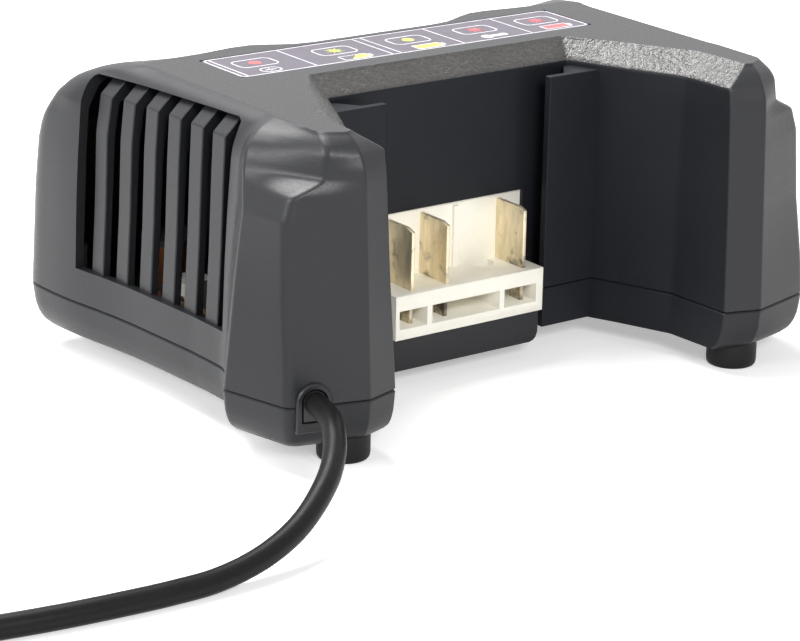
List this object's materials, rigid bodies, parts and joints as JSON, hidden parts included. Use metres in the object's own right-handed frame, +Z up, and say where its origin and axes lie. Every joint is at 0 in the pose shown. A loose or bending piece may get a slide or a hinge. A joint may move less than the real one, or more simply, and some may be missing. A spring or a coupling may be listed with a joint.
{
  "type": "power tool battery charger",
  "caption": "Tabletop battery charger with two arms round an open slide-in bay, side louvres, terminal block with blades, indicator strip and a mains cord with plug",
  "frame": {"origin": "centre of the footprint of the charger without its cord, at the level of the feet", "axes": "+X to the right seen from the open bay, +Y to the rear, +Z up"},
  "size_m": [0.3898, 0.1978, 0.0915],
  "materials": {
    "housing": "fine moulded grain, charcoal",
    "housing_low": "fine moulded grain, charcoal",
    "label": "printed film, grey purple",
    "ivory": "ivory moulded plastic",
    "blade": "dull tinned metal",
    "rubber": "matt black",
    "cord": "satin black cord jacket",
    "screw": "zinc plated",
    "pin": "nickel plated",
    "board": "green board",
    "ferrite": "dark grey ferrite",
    "winding": "taped winding",
    "copper": "enamelled copper",
    "capacitor": "sleeved can",
    "film": "yellow box",
    "aluminium": "plain",
    "package": "black epoxy",
    "white_plastic": "white plastic",
    "lead": "insulated wire",
    "led": "coloured resin",
    "fuse": "glass tube with caps"
  },
  "bodies": {
    "root": {"upper_housing": "housing", "lower_housing": "housing_low", "indicator_label": "label", "terminal_block": "ivory", "blade_left": "blade", "blade_middle": "blade", "blade_right": "blade", "rubber_feet": "rubber", "housing_screws": "screw", "block_screw": "screw", "cord_bushing": "rubber", "inner_cable": "cord", "cord_clamp": "package", "clamp_screws": "screw", "mains_leads": "lead", "inlet_connector": "white_plastic", "output_connector": "white_plastic", "main_board": "board", "board_screws": "screw", "transformer_core": "ferrite", "transformer_winding": "winding", "bulk_capacitor": "capacitor", "output_capacitors": "capacitor", "filter_capacitor": "film", "primary_heat_sink": "aluminium", "secondary_heat_sink": "aluminium", "switching_transistor": "package", "output_rectifier": "package", "heat_sink_screws": "screw", "bridge_rectifier": "package", "choke_core": "ferrite", "choke_winding": "copper", "fuse": "fuse", "control_chip": "package", "indicator_board": "board", "indicator_screws": "screw", "indicator_leds": "led", "indicator_lead": "white_plastic", "output_leads": "lead", "mains_cord": "cord", "cord_coil": "cord", "cord_tie": "rubber", "cord_tail": "cord", "plug_body": "cord", "plug_pins": "pin"}
  },
  "joints": []
}
